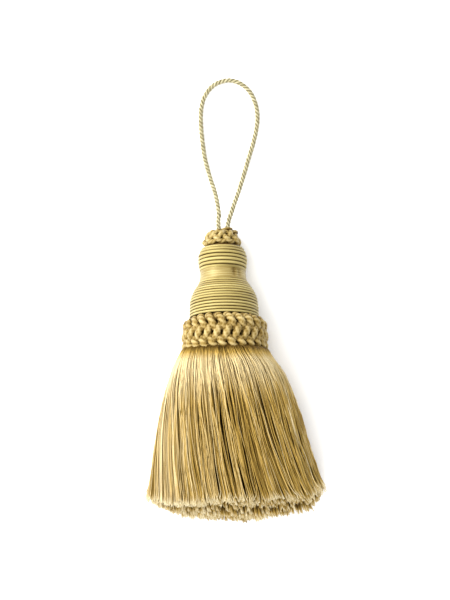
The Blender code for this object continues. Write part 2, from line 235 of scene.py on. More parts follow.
def silkMaterial(name, look):
    # reeled silk, dyed gold: a bright, slightly soft shine, and deep gold shade between threads
    made = bpy.data.materials.new(name)
    made.use_nodes = True
    tree = made.node_tree
    shader = tree.nodes["Principled BSDF"]
    tone = addNode(tree, "ShaderNodeAttribute", attribute_name="tone")
    fibre = addNode(tree, "ShaderNodeAttribute", attribute_name="fibre")
    # Streaks of filaments, in mm along and across the thread. Real filaments are 0.01 to 0.02 mm
    # across, too fine to show, so the streaks are drawn ten times as coarse.
    long, wide = look["streak"]
    stretched = addNode(
        tree, "ShaderNodeVectorMath",
        {0: fibre.outputs["Vector"], 1: (1 / long, 1 / wide, 1 / wide)}, operation="MULTIPLY",
    )
    streaks = addNode(
        tree, "ShaderNodeTexNoise", {"Vector": stretched.outputs[0], "Scale": 1.0, "Detail": 2.0}
    )
    darkest, lightest = silk["noise"]
    streakTone = addNode(
        tree, "ShaderNodeMapRange",
        {
            "Value": streaks.outputs["Fac"], "From Min": darkest, "From Max": lightest,
            "To Min": -look["streakTone"], "To Max": look["streakTone"],
        },
    )
    toned = addNode(
        tree, "ShaderNodeMath", {0: streakTone.outputs[0], 1: tone.outputs["Fac"]}, operation="ADD"
    )
    ramp = addNode(tree, "ShaderNodeValToRGB", {"Fac": toned.outputs[0]})
    ramp.color_ramp.elements[0].color = hexColour(look["shade"])
    ramp.color_ramp.elements[1].color = hexColour(look["light"])
    ramp.color_ramp.elements.new(0.5).color = hexColour(look["body"])
    bump = addNode(
        tree, "ShaderNodeBump",
        {"Height": streaks.outputs["Fac"], "Strength": 1.0, "Distance": look["bump"] * mm},
    )
    tree.links.new(ramp.outputs["Color"], shader.inputs["Base Color"])
    tree.links.new(bump.outputs["Normal"], shader.inputs["Normal"])
    shader.inputs["Roughness"].default_value = look["roughness"]
    shader.inputs["IOR"].default_value = silk["ior"]
    shader.inputs["Specular IOR Level"].default_value = look["gloss"]
    shader.inputs["Specular Tint"].default_value = hexColour(look["shine"])
    shader.inputs["Sheen Weight"].default_value = look["sheen"]
    shader.inputs["Sheen Roughness"].default_value = silk["sheenRoughness"]
    shader.inputs["Sheen Tint"].default_value = hexColour(look["shine"])
    return made


# Hanging loop: three strands of silk laid up in an S twist
loop = {
    "diameter": 2.3,
    "length": 176.4,
    "lay": 6.2,  # along the cord, for one turn of a strand
    "strandRadius": 0.62,
    "strandOffset": 0.6,
    "strandSides": 10,
    "strandTones": (0.5, 0.55, 0.6),
    "stepsPerLay": 22,
    # painted shade on each strand's sides, in the cord's grooves
    "paintedSideShade": 0.58,
    "lowest": 0.05,
    # each end inside the knot, and where it comes out, in the head's frame
    "left": ((-1.5, -1.8, 62.4), (-1.5, -1.8, 68.9)),
    "right": ((2.4, 0.8, 62.4), (3.8, 0.8, 68.9)),
    # from the left leg round to the right one: across and up from the rim, and above the table
    "route": (
        (-3.2, 69.5, 8.7), (-4.0, 75.4, 7.2), (-5.3, 81.4, 5.3), (-7.3, 87.4, 3.6),
        (-9.1, 93.4, 2.3), (-10.6, 99.5, 1.5), (-11.5, 105.8, 1.25), (-12.2, 112.1, 1.25),
        (-12.6, 118.4, 1.25), (-12.4, 123.6, 1.25), (-11.4, 128.5, 1.25), (-9.2, 132.9, 1.25),
        (-6.0, 136.3, 1.25), (-2.1, 138.2, 1.25), (2.0, 138.9, 1.25), (6.4, 137.9, 1.25),
        (10.4, 135.3, 1.25), (13.3, 131.8, 1.25), (15.3, 127.3, 1.25), (16.3, 122.5, 1.25),
        (16.4, 117.9, 1.25), (15.7, 112.9, 1.25), (14.2, 106.4, 1.25), (12.3, 100.2, 1.25),
        (10.5, 94.0, 1.4), (8.7, 88.0, 2.0), (6.9, 82.0, 3.2), (4.8, 76.0, 4.6), (2.8, 70.0, 6.1),
    ),
    # twisted silk cord: pale straw, with a satin shine on each strand and painted brown shade in
    # the grooves
    "look": {
        "shade": "#403610", "body": "#A69F80", "light": "#D6D1B8", "shine": "#F4EAC4",
        "gloss": 0.38, "roughness": 0.42, "sheen": 0.05,
        "bump": 0.06, "streak": (2.5, 0.16), "streakTone": 0.2,
    },
}


def smoothLine(points, step):
    # evenly spaced points on a smooth curve through the given ones
    points = np.asarray(points, float)
    padded = np.vstack([2 * points[0] - points[1], points, 2 * points[-1] - points[-2]])
    t = np.linspace(0, 1, 20, endpoint=False)[:, None]  # 20 points from each one to the next
    fine = []
    for before, a, b, after in zip(padded, padded[1:], padded[2:], padded[3:]):
        fine.append(0.5 * (
            2 * a + (b - before) * t
            + (2 * before - 5 * a + 4 * b - after) * t**2
            + (3 * a - before - 3 * b + after) * t**3
        ))
    line = np.vstack([*fine, points[-1:]])
    travelled = wayAlong(line)
    at = np.linspace(0, travelled[-1], round(travelled[-1] / step) + 1)
    return np.stack([np.interp(at, travelled, line[:, k]) for k in range(3)], 1)


def carriedFrame(line):
    # two directions across the line that turn as little as they can on the way
    ahead = unit(np.gradient(line, axis=0))
    side = np.empty_like(line)
    last = np.array([1.0, 0.0, 0.0])
    for i, forward in enumerate(ahead):
        last = unit(last - forward * last.dot(forward))
        side[i] = last
    return side, np.cross(ahead, side)


def laidStrands(line, offset, lay, count):
    # the paths of a cord's strands round its own line, and the way out from it
    side, up = carriedFrame(line)
    paths, outward = [], []
    for k in range(count):
        angle = (-2 * np.pi * wayAlong(line) / lay + 2 * np.pi * k / count)[:, None]
        out = side * np.cos(angle) + up * np.sin(angle)
        paths.append(line + out * offset)
        outward.append(out)
    return np.array(paths), np.array(outward)


def makeLoop():
    left, right = fromHead(loop["left"]), fromHead(loop["right"])
    middle = [rim * (1, 1, 0) + np.array(p) for p in loop["route"]]
    line = smoothLine([*left, *middle, *right[::-1]], loop["lay"] / loop["stepsPerLay"])
    tones = np.array(loop["strandTones"])
    paths, outward = laidStrands(line, loop["strandOffset"], loop["lay"], len(tones))
    sections = roundSection(np.full(paths.shape[:2], loop["strandRadius"]), loop["strandSides"])
    part = sweepTubes(paths, sections, outward, tones, loop["paintedSideShade"])
    part["vertices"][:, 2] = np.maximum(part["vertices"][:, 2], loop["lowest"])
    finish = silkMaterial("twistedSilkCord", loop["look"])
    made = addMesh("loopCord", [part], finish, "hanging_loop")


# Wound head: cord laid turn by turn over the mould
winding = {
    "bell": {
        "shape": (
            {"height": 17.8, "radius": 17.5}, {"height": 22.5, "radius": 17.4},
            {"height": 26.5, "radius": 17.1}, {"height": 29.1, "radius": 16.3},
            {"height": 31.2, "radius": 15.3}, {"height": 33.2, "radius": 14.1},
            {"height": 35.0, "radius": 12.9}, {"height": 36.6, "radius": 12.05},
        ),
        "turns": 13,
        # how deep the ground behind the cord lies from bottom to top, in radii of the cord
        "groove": (1.0, 1.0, 0.9, 0.6, 0.4),
    },
    "bulb": {
        "shape": (
            {"height": 41.8, "radius": 11.7}, {"height": 44.4, "radius": 12.2},
            {"height": 47.4, "radius": 12.5}, {"height": 50.0, "radius": 12.25},
            {"height": 52.0, "radius": 11.5}, {"height": 54.2, "radius": 10.1},
        ),
        "turns": 7,
        "groove": (1.05, 1.05, 1.05, 1.05, 1.1),
    },
    "seed": 3,
    "stepsPerTurn": 112,
    "changesPerTurn": 5,
    "stray": 0.05,  # how far the cord lies off its exact place
    "tone": 0.5,
    "toneSpread": 0.07,
    # painted shade on the cord's sides, between the turns
    "paintedSideShade": 0.7,
    "sides": 12,
    "fullness": 0.92,  # the cord's width in its turn's room
    "groundRows": 40,
    "groundAround": 120,
    # wound silk cord: satin gold crests, with a brown line of painted shade between the turns
    "look": {
        "shade": "#3E2600", "body": "#A89964", "light": "#CFC596", "shine": "#F0E0A0",
        "gloss": 0.38, "roughness": 0.4, "sheen": 0.03,
        "bump": 0.05, "streak": (5.0, 0.14), "streakTone": 0.15,
    },
}


def windingParts(kind):
    part = winding[kind]
    turns = part["turns"]
    rings = turns * winding["stepsPerTurn"] + 1
    share = np.linspace(0, 1, rings)
    height, radius, length = shapeAt(part["shape"], share)
    thick = length / turns / 2 * winding["fullness"]
    chance = np.random.default_rng(winding["seed"])
    knots = np.linspace(0, 1, turns * winding["changesPerTurn"])
    stray = np.interp(share, knots, chance.normal(0, winding["stray"], len(knots)))
    tone = np.interp(share, knots, chance.normal(0, winding["toneSpread"], len(knots)))
    angle = -2 * np.pi * turns * share
    slopeH, slopeR = np.gradient(height, share) / length, np.gradient(radius, share) / length
    centre = radius - thick * slopeH
    middle = height + thick * slopeR + stray
    path = np.stack([centre * np.cos(angle), centre * np.sin(angle), middle], -1)
    outward = np.stack([slopeH * np.cos(angle), slopeH * np.sin(angle), -slopeR], -1)
    tube = sweepTubes(
        fromHead(path)[None], roundSection(np.full((1, rings), thick), winding["sides"]),
        (outward @ headTurn.T)[None], winding["tone"] + tone[None], winding["paintedSideShade"],
    )
    tube["vertices"][:, 2] = np.maximum(tube["vertices"][:, 2], 0.0)
    rows = np.linspace(0, 1, winding["groundRows"])
    height, radius, _ = shapeAt(part["shape"], rows)
    depth = thick * np.interp(rows, np.linspace(0, 1, len(part["groove"])), part["groove"])
    # the ground between the turns, all in the shade colour: painted shade
    ground = turnedSurface(height, radius - depth, np.zeros(len(rows)), winding["groundAround"])
    return [tube, ground]


def makeWindings():
    finish = silkMaterial("woundSilkCord", winding["look"])
    for kind in ("bell", "bulb"):
        addMesh(kind + "Winding", windingParts(kind), finish, kind + "_winding")


# Waist: flat floss wound side by side
waist = {
    "shape": (
        {"height": 36.0, "radius": 12.2}, {"height": 38.4, "radius": 11.65},
        {"height": 40.2, "radius": 11.5}, {"height": 41.8, "radius": 11.5},
        {"height": 42.6, "radius": 10.9},
    ),
    "seed": 5,
    "threads": 24,
    "rowsPerThread": 4,
    "around": 168,
    "groove": 0.05,
    "tone": 0.5,
    "toneSpread": 0.08,
    # two creases on the right with painted shade in them, and a painted highlight on the left
    "dentsAndPaintedLight": (
        {"at": 29.0, "wide": 6.0, "height": 40.0, "tall": 3.0, "dent": 0.3, "tone": 0.34},
        {"at": 44.0, "wide": 5.0, "height": 39.0, "tall": 2.6, "dent": 0.2, "tone": 0.2},
        {"at": -27.0, "wide": 15.0, "height": 39.4, "tall": 2.4, "dent": -0.08, "tone": -0.16},
    ),
    # flat silk floss, untwisted: the smoothest and glossiest silk here, with long fine streaks
    "look": {
        "shade": "#4C3608", "body": "#938252", "light": "#C6BA8C", "shine": "#F4E6B0",
        "gloss": 0.38, "roughness": 0.3, "sheen": 0.05,
        "bump": 0.03, "streak": (12.0, 0.12), "streakTone": 0.3,
    },
}


def makeWaist():
    share = np.linspace(0, 1, waist["threads"] * waist["rowsPerThread"] + 1)
    height, radius, _ = shapeAt(waist["shape"], share)
    radius = radius - waist["groove"] * np.abs(np.cos(np.pi * waist["threads"] * share))
    chance = np.random.default_rng(waist["seed"])
    threadTone = chance.normal(waist["tone"], waist["toneSpread"], waist["threads"] + 1)
    tones = threadTone[(share * waist["threads"]).astype(int)]
    band = turnedSurface(height, radius, tones, waist["around"], waist["dentsAndPaintedLight"])
    finish = silkMaterial("flatSilkFloss", waist["look"])
    addMesh("waistFloss", [band], finish, "waist_binding")


# What the collar's and the knot's plaits share
plait = {
    "seed": 11,
    "plies": 3,
    "flatten": 0.95,
    # painted shade on the cord's sides, where it meets the others
    "paintedSideShade": 0.42,
    "tone": 0.55,
    "toneSpread": 0.06,
    "toneChanges": 260,
    # painted shade between the plies and where the cord dives under another, and painted light
    # where it passes over
    "plyPaintedShade": 2.4,
    "crossingLightAndShade": 0.16,
    "groundAround": 96,
}

# Collar: a turk's head plait of four leads, one thick cord that goes round four times
collar = {
    "leads": 4,
    "bights": 25,
    "turn": 0.0,
    "cordRadius": 1.92,
    "weave": 1.15,  # how far the cord rises over a crossing and dives under one
    "plyDepth": 0.42,
    "lay": 8.0,
    "sides": 27,
    "step": 0.6,
    "uneven": 0.2,
    "lowest": -0.6,
    "highest": 15.4,
    "rowsLower": 0.04,  # the middle row lies a little lower
    "sideLift": {"left": 2.6, "right": 1.4},  # the skirt lifts the collar's foot at the sides
    "inset": 0.75,  # how deep the ground lies, in radii of the cord
    "shape": (
        {"height": -1.0, "radius": 17.7}, {"height": 1.6, "radius": 18.6},
        {"height": 4.0, "radius": 18.9}, {"height": 8.8, "radius": 18.9},
        {"height": 12.8, "radius": 18.6}, {"height": 15.6, "radius": 17.6},
        {"height": 17.5, "radius": 16.8},
    ),
    # plaited three-ply silk cord: soft gold lobes, and deep brown shade where the cords cross,
    # partly painted
    "look": {
        "shade": "#241000", "body": "#867040", "light": "#BCAB7E", "shine": "#F0D682",
        "gloss": 0.28, "roughness": 0.44, "sheen": 0.02,
        "bump": 0.09, "streak": (2.5, 0.2), "streakTone": 0.2,
    },
}


def overUnder(phase, leads):
    # +1 where the cord passes over and -1 where it passes under, 0 at the bights
    values = [0.0] + [(-1.0) ** k for k in range(1, leads)]
    values += [0.0] + [(-1.0) ** (leads - k + 1) for k in range(1, leads)] + [0.0]
    at = (phase / np.pi * leads) % (2 * leads)
    below = np.floor(at).astype(int)
    values = np.array(values)
    blend = (1 - np.cos(np.pi * (at - below))) / 2
    return values[below] * (1 - blend) + values[below + 1] * blend


def pliedSections(spec, turns, flatten):
    # a cord's radii and cross-sections, with its plies' ridges turned on along the cord
    angles = 2 * np.pi * np.arange(spec["sides"]) / spec["sides"]
    ridge = np.abs(np.sin((plait["plies"] / 2) * (angles[None] - 2 * np.pi * turns[:, None])))
    out = spec["cordRadius"] - spec["plyDepth"] * (1 - ridge)
    return out, np.stack([out * np.cos(angles), out * np.sin(angles) * flatten], -1)


def sideLift(spec, across):
    # across: -1 at the head's left side and +1 at its right one
    side = np.where(across < 0, spec["sideLift"]["left"], spec["sideLift"]["right"])
    return side * across**2


def turksHead(spec):
    leads, bights = spec["leads"], spec["bights"]
    heights = [row["height"] for row in spec["shape"]]
    radii = [row["radius"] for row in spec["shape"]]
    around = 2 * np.pi * leads * np.mean(radii)
    rise = 2 * bights * (spec["highest"] - spec["lowest"])
    rings = int(math.hypot(around, rise) / spec["step"])
    t = 2 * np.pi * leads * np.arange(rings) / rings
    angle = t + math.radians(spec["turn"])
    phase = (bights * t / leads) % (2 * np.pi)
    share = (1 - np.cos(phase)) / 2
    share = share - spec["rowsLower"] * np.sin(np.pi * share)
    height = spec["lowest"] + (spec["highest"] - spec["lowest"]) * share
    height = height + sideLift(spec, np.cos(angle)) * (1 - share)
    over = overUnder(phase, leads)
    radius = np.interp(height, heights, radii) + spec["weave"] * over
    # a plait made by hand: the cord's way wavers a little
    chance = np.random.default_rng(plait["seed"])
    knots = np.linspace(0, rings, leads * bights * 2 + 1)
    wavers = chance.normal(0, spec["uneven"], (2, len(knots)))
    wavers[:, -1] = wavers[:, 0]
    height = height + np.interp(np.arange(rings), knots, wavers[0])
    radius = radius + np.interp(np.arange(rings), knots, wavers[1])
    line = np.stack([radius * np.cos(angle), radius * np.sin(angle), height], -1)
    outward = np.stack([np.cos(angle), np.sin(angle), np.zeros(rings)], -1)
    steps = np.linalg.norm(np.roll(line, -1, 0) - line, axis=1)
    total = steps.sum()
    travelled = np.concatenate([[0], np.cumsum(steps)[:-1]])
    turns = -travelled / total * round(total / spec["lay"])
    out, sections = pliedSections(spec, turns, plait["flatten"])
    part = sweepTubes(
        fromHead(line)[None], sections[None], (outward @ headTurn.T)[None],
        np.zeros(1), plait["paintedSideShade"], closed=True,
    )
    changes = chance.normal(plait["tone"], plait["toneSpread"], plait["toneChanges"])
    slow = np.interp(travelled, np.linspace(0, total, len(changes)), changes)
    # painted shade in the valleys between the plies, and painted light and shade over and under the
    # crossings
    plyShading = plait["plyPaintedShade"] * (out - out.mean()) / spec["cordRadius"]
    part["tone"] = part["tone"] + ((slow + plait["crossingLightAndShade"] * over)[:, None] + plyShading).reshape(-1)
    part["vertices"][:, 2] = np.maximum(part["vertices"][:, 2], 0.0)
    return part


def backing(spec):
    # the ground that shows between a plait's cords, all in the shade colour: painted shade
    heights = [row["height"] for row in spec["shape"]]
    radii = [row["radius"] - spec["cordRadius"] * spec["inset"] for row in spec["shape"]]
    return turnedSurface(heights, radii, np.zeros(len(radii)), plait["groundAround"])


def makeCollar():
    finish = silkMaterial("plaitedSilkCord", collar["look"])
    parts = [turksHead(collar), backing(collar)]
    addMesh("collarPlait", parts, finish, "plaited_collar")


# Top knot: a small turk's head round the head's end, and a curl of cord round the loop's legs
knot = {
    "leads": 3,
    "bights": 10,
    "turn": 18.0,
    "cordRadius": 1.38,
    "weave": 0.62,
    "plyDepth": 0.26,
    "lay": 6.0,
    "sides": 21,
    "step": 0.45,
    "uneven": 0.26,
    "lowest": 55.6,
    "highest": 61.4,
    "rowsLower": 0.0,
    "sideLift": {"left": 0.0, "right": 0.0},
    "inset": 0.6,
    "shape": (
        {"height": 53.6, "radius": 8.0}, {"height": 57.0, "radius": 7.8},
        {"height": 59.5, "radius": 6.9}, {"height": 61.6, "radius": 4.8},
        {"height": 63.0, "radius": 4.0},
    ),
    # the curl goes twice round the legs, and in and out three times on the way
    "curl": {
        "aside": 2.7, "radius": 3.0, "spread": 1.3, "height": 61.9, "rise": 1.0,
        "rounds": 2, "waves": 3, "rings": 220,
    },
    # knotted silk cord: the collar's cord, thinner and a little paler
    "look": {
        "shade": "#382202", "body": "#917D4B", "light": "#C4B58A", "shine": "#EED890",
        "gloss": 0.28, "roughness": 0.44, "sheen": 0.02,
        "bump": 0.07, "streak": (2.0, 0.18), "streakTone": 0.2,
    },
}


def knotCurl():
    curl = knot["curl"]
    t = 2 * np.pi * np.arange(curl["rings"]) / curl["rings"]
    radius = curl["radius"] + curl["spread"] * np.cos(curl["waves"] * t)
    height = curl["height"] + curl["rise"] * np.sin(curl["waves"] * t)
    across = curl["aside"] + radius * np.cos(curl["rounds"] * t)
    line = np.stack([across, radius * np.sin(curl["rounds"] * t), height], -1)
    steps = wayAlong(line)
    _, sections = pliedSections(knot, -steps / steps[-1] * round(steps[-1] / knot["lay"]), 1.0)
    upward = np.broadcast_to(headTurn @ np.array([0, 0, 1.0]), (1, len(t), 3))
    tone = np.array([plait["tone"]])
    return sweepTubes(
        fromHead(line)[None], sections[None], upward, tone, plait["paintedSideShade"], closed=True
    )


def makeKnot():
    finish = silkMaterial("knottedSilkCord", knot["look"])
    parts = [turksHead(knot), backing(knot), knotCurl()]
    addMesh("knotCap", parts, finish, "top_knot")


# Skirt: thousands of cut silk threads, a few of them to a strand, gathered in locks
skirt = {
    "seed": 21,
    "threads": 9000,
    "locks": 150,
    "strands": 1300,
    "threadJitter": 0.55,  # how far each lies off its even place in the bundle
    "groupJitter": 0.5,
    "threadRadius": 0.2,  # real threads are thinner, and too fine to show one by one
    "thinnest": 0.85,
    "thicker": 0.3,
    "sides": 3,
    # shares of a thread's length at which it has a ring
    "rings": (
        0, 0.015, 0.035, 0.06, 0.09, 0.13, 0.18, 0.25, 0.33, 0.41, 0.5, 0.59, 0.68, 0.76, 0.84,
        0.91, 0.95, 0.978, 1,
    ),
    "outerDepth": 0.74,  # threads nearer the middle than this have fewer rings
    "innerRings": (0, 0.05, 0.2, 0.55, 0.93, 0.978, 1),
    "linePoints": 90,
    "middlePoint": 60,  # where along its line a thread is sorted into its piece
    "lowerShare": 0.36,
    # inside the collar, and where the threads come out of it, in the head's frame
    "inCollar": (
        {"run": -4.0, "radius": 17.6, "height": 1.2}, {"run": 0.0, "radius": 21.6, "height": -0.9},
    ),
    # the skirt's cross-sections, as in the solid: how far down, its reach to both sides, its
    # top, widest level and underside above the table, and its slope
    "sections": (
        {"run": 2.0, "left": 24.2, "right": 24.4, "top": 44.6, "wide": 21.5, "under": 2.4,
         "slope": 13.0},
        {"run": 9.2, "left": 27.6, "right": 29.8, "top": 46.6, "wide": 19.5, "under": 0.0,
         "slope": 14.0},
        {"run": 25.0, "left": 32.4, "right": 36.6, "top": 45.4, "wide": 17.0, "under": 0.0,
         "slope": 17.0},
        {"run": 50.0, "left": 36.9, "right": 44.4, "top": 40.0, "wide": 14.0, "under": 0.0,
         "slope": 21.0},
        {"run": 92.0, "left": 43.6, "right": 61.0, "top": 29.5, "wide": 10.0, "under": 0.0,
         "slope": 25.0},
    ),
    "outlineSteps": 240,
    "pressed": {"drop": 1.12, "corner": 0.72},  # the underside, flat on the table
    # at each ring and cross-section from the collar down: what each thread keeps of its way
    # from the lock's and the strand's middle, and how freely it wanders
    "gathered": (
        {"lock": 1.0, "strand": 1.0, "free": 0.0}, {"lock": 1.0, "strand": 1.0, "free": 0.05},
        {"lock": 1.0, "strand": 0.95, "free": 0.12}, {"lock": 0.98, "strand": 0.8, "free": 0.32},
        {"lock": 0.95, "strand": 0.56, "free": 0.65}, {"lock": 0.9, "strand": 0.38, "free": 1.0},
        {"lock": 0.88, "strand": 0.34, "free": 1.25},
    ),
    "wander": {"lock": 0.17, "strand": 0.15, "thread": 0.03},  # in sizes of a lock
    # from the left edge at -1 to the right one at 1: the left is combed tighter than the rest, and
    # its threads lie flat and close, with less painted shade between them and painted light on
    # them, as the light falls from the left
    "calm": ((-1.0, 0.35), (-0.75, 1.0)),
    "looseAndShaded": ((-0.9, 0.35), (-0.5, 0.7), (-0.1, 1.0)),
    # strays lie on top and cross the strands at a slant, in turns of the skirt
    "strays": {"number": 380, "depth": 0.9, "slant": 0.011, "cross": 0.6},
    "reach": 0.98,  # how far out the threads' middles lie in the outline
    "twist": 0.04,  # how much of a turn the whole skirt is twisted at its foot
    # on top, right of the middle, the threads fan out further: all three in shares of a turn
    "fan": {"at": 0.07, "wide": 0.075, "more": 0.036},
    "strandWaves": {"reach": 0.3, "lengths": (25, 45)},
    "threadWaves": {"reach": 0.07, "lengths": (15, 30)},
    "waveLift": 0.6,
    "waveFree": ((0, 0), (0.08, 0.15), (0.3, 1)),
    "clear": {"radii": 1.1, "heap": 0.3},  # how low the lowest threads may lie on the table
    "length": 85.0,
    # what is added to the length: by place from the left edge at -1 to the right one at 1
    "longerAcross": (
        (-1.0, -2.3), (-0.8, -0.6), (-0.55, 1.0), (-0.3, 1.2), (0.0, 0.2), (0.35, 2.3),
        (0.6, 3.4), (0.78, 4.6), (0.92, -1.2), (1.0, -3.8),
    ),
    # and by level at the foot from the table at 0 to the top at 1: the cut edge has two layers,
    # and the threads below reach further than those above, less so at the sides
    "longerUp": ((0.0, -1.6), (0.3, -0.2), (0.6, 1.0), (0.7, -4.0), (0.85, -3.3), (1.0, -2.6)),
    "layerLeast": 0.25,
    "lockSpread": 0.35,
    "strandSpread": 0.6,
    "threadSpread": 0.25,
    "ragged": {"depth": 0.86, "times": 1.5},  # the cut ends inside are less even
    # each strand opens to a little brush at its cut end
    "tuft": 0.5,
    "opening": ((0.93, 0), (0.97, 0.35), (1, 1)),
    # tone: 0 is the shade, 0.5 the body colour and 1 the light one
    "tone": 0.55,
    "meanTone": 0.555,  # of the threads' own tones
    "toneSpread": {"lock": 0.05, "strand": 0.055, "thread": 0.04},
    "strayTone": 0.06,
    "leftPaintedLight": 0.17,
    "rightPaintedShade": 0.02,
    # painted shade on a strand's own sides, none on its crest
    "strandShade": {"depth": 0.3, "most": 1.2, "crest": 0.3},
    # along a thread: painted shade inside and under the collar, a painted highlight where it bows
    # out, and painted light at the cut ends
    "paintedShadeAndLightAlong": (
        (0.0, -0.5), (0.06, -0.42), (0.08, -0.14), (0.105, 0.1), (0.14, 0.22), (0.25, 0.16),
        (0.4, 0.0), (0.965, 0.0), (1.0, 0.38),
    ),
    # painted shade on threads further in, which lie in each other's shade, less so at the collar
    # and the cut
    "inShade": {"from": 0.97, "over": 0.12},
    "shaded": ((0, 0.05), (0.2, 0.08), (0.45, 0.42), (0.93, 0.4), (1, 0.0)),
    # near the collar the threads lie so even that they shine as one: there the strands' painted
    # side shade and the threads' own tones are weaker
    "sided": ((0.18, 0.1), (0.5, 1)),
    "uneven": ((0.12, 0.35), (0.45, 1)),
    # cut silk yarn, hardly twisted: glossy straw gold, with brown shade between the strands, partly
    # painted
    "look": {
        "shade": "#341C00", "body": "#AF9350", "light": "#E6DAB8", "shine": "#F0D480",
        "gloss": 0.2, "roughness": 0.42, "sheen": 0.0,
        "bump": 0.02, "streak": (10.0, 0.15), "streakTone": 0.05,
    },
}


def sectionOutline(section):
    # the outline from its top round to its top again, with each point's share of the way
    angle = 2 * np.pi * np.arange(skirt["outlineSteps"] + 1) / skirt["outlineSteps"]
    across, up = np.sin(angle), np.cos(angle)
    middle = (section["right"] - section["left"]) / 2
    reach = (section["right"] + section["left"]) / 2
    pressed = skirt["pressed"]
    drop = (section["wide"] - section["under"]) * (pressed["drop"] if section["under"] <= 0 else 1)
    above = section["wide"] + (section["top"] - section["wide"]) * up
    below = section["wide"] - drop * np.abs(up) ** pressed["corner"]
    level = np.where(up >= 0, above, np.maximum(section["under"], below))
    line = np.stack([middle + reach * across, level], 1)
    steps = wayAlong(line)
    return line, steps / steps[-1], middle


def skirtPoints(number, share, depth):
    # world points of shares round the skirt and depths in it, on one ring or cross-section
    rings = skirt["inCollar"]
    if number < len(rings):
        angle = 2 * np.pi * share
        radius = rings[number]["radius"] * depth
        height = rings[number]["height"] + sideLift(collar, np.sin(angle))
        return fromHead(np.stack([radius * np.sin(angle), -radius * np.cos(angle), height], -1))
    section = skirt["sections"][number - len(rings)]
    rootY = rim[1] + rings[-1]["height"] * math.cos(math.radians(head["tilt"]))
    line, steps, middle = sectionOutline(section)
    share = share % 1.0
    x = middle + (np.interp(share, steps, line[:, 0]) - middle) * depth
    z = section["wide"] + (np.interp(share, steps, line[:, 1]) - section["wide"]) * depth
    y = rootY - section["run"] + (z - section["wide"]) * math.tan(math.radians(section["slope"]))
    return np.stack([rim[0] + x, y, z], -1)


def smoothThrough(points, knots, at):
    # a smooth curve through points (threads, knots, 3), read at the given knot values
    step = np.diff(knots)
    slope = np.diff(points, axis=1) / step[None, :, None]
    # no tangent is steep enough to swing past its points
    before, after = step[None, :-1, None], step[None, 1:, None]
    same = slope[:, :-1] * slope[:, 1:] > 0
    safe = np.where(same, slope[:, :-1], 1.0), np.where(same, slope[:, 1:], 1.0)
    inner = 3 * (before + after) / ((2 * after + before) / safe[0] + (after + 2 * before) / safe[1])
    inner = np.where(same, inner, 0.0)
    tangent = np.concatenate([slope[:, :1], inner, slope[:, -1:]], 1)
    i = np.clip(np.searchsorted(knots, at, "right") - 1, 0, len(knots) - 2)
    t = ((at - knots[i]) / step[i])[None, :, None]
    width = step[i][None, :, None]
    return (
        points[:, i] * (2 * t**3 - 3 * t**2 + 1) + tangent[:, i] * width * (t**3 - 2 * t**2 + t)
        + points[:, i + 1] * (3 * t**2 - 2 * t**3) + tangent[:, i + 1] * width * (t**3 - t**2)
    )


def nearest(points, centres):
    # the nearest centre to each point, in batches that fit the memory
    best = np.empty(len(points), int)
    for start in range(0, len(points), 500):
        rows = points[start:start + 500]
        gaps = ((rows[:, None] - centres[None]) ** 2).sum(-1)
        best[start:start + 500] = gaps.argmin(1)
    return best


def discPoints(count, chance, jitter):
    # points spread evenly over a round bundle, each a little off its place
    number = np.arange(count) + 0.5
    angle = number * np.pi * (3 - math.sqrt(5))
    radius = np.sqrt(number / count)
    points = np.stack([radius * np.cos(angle), radius * np.sin(angle)], -1)
    return points + chance.normal(0, jitter / math.sqrt(count), points.shape)


def gatherThreads(chance):
    # each thread's place in the round bundle, its strand and its lock
    places = discPoints(skirt["threads"], chance, skirt["threadJitter"])
    places /= np.maximum(1, np.linalg.norm(places, axis=1, keepdims=True))
    lockMiddles = discPoints(skirt["locks"], chance, skirt["groupJitter"])
    strandMiddles = discPoints(skirt["strands"], chance, skirt["groupJitter"])
    strand = nearest(places, strandMiddles)
    lock = nearest(strandMiddles, lockMiddles)[strand]
    depth = np.linalg.norm(places, axis=1)
    return {
        "strand": strand,
        "lock": lock,
        "place": places,
        "lockMiddle": lockMiddles[lock],
        "fromLock": strandMiddles[strand] - lockMiddles[lock],
        "fromStrand": places - strandMiddles[strand],
        "depth": depth,
        "calm": readTable(skirt["calm"], places[:, 0])[:, None],
        "looseAndShaded": readTable(skirt["looseAndShaded"], places[:, 0]),
        "ragged": np.where(depth < skirt["ragged"]["depth"], skirt["ragged"]["times"], 1.0),
    }


